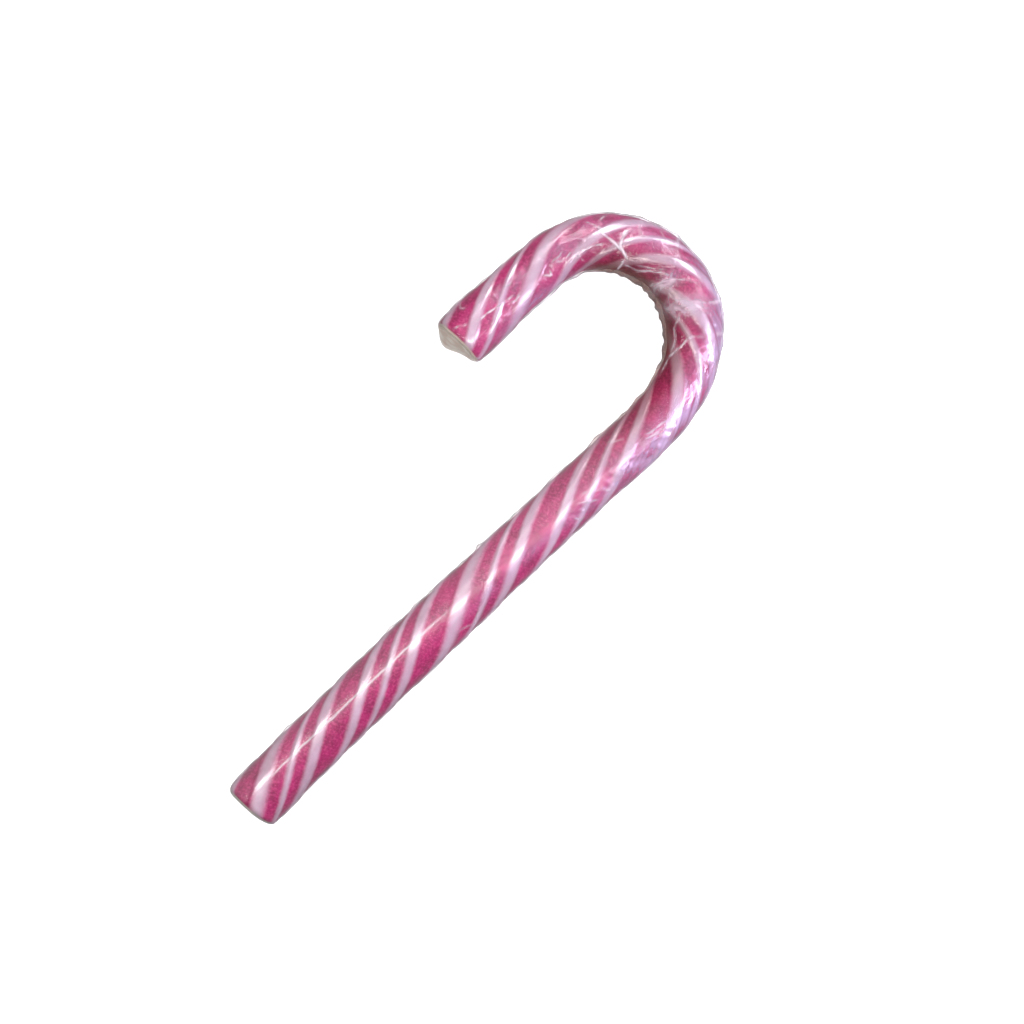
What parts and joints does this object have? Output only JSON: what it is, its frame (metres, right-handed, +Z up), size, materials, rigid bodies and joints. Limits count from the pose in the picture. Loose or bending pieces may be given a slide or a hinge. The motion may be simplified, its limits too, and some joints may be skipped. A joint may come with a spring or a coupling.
{
  "type": "candy cane",
  "caption": "Crook-shaped stick of twisted rose and white striped boiled sugar, sealed in tight clear film, lying on its side.",
  "frame": {"origin": "on the surface the cane lies on, under the middle of its outline seen from above", "axes": "+Y along the shaft from the foot to the bend, +Z up from the surface, the crook turns towards -X"},
  "size_m": [0.0502, 0.14, 0.0125],
  "materials": {
    "candy": "gloss",
    "film": "gloss"
  },
  "bodies": {
    "root": {"wrapped_candy_cane": "candy"}
  },
  "joints": []
}
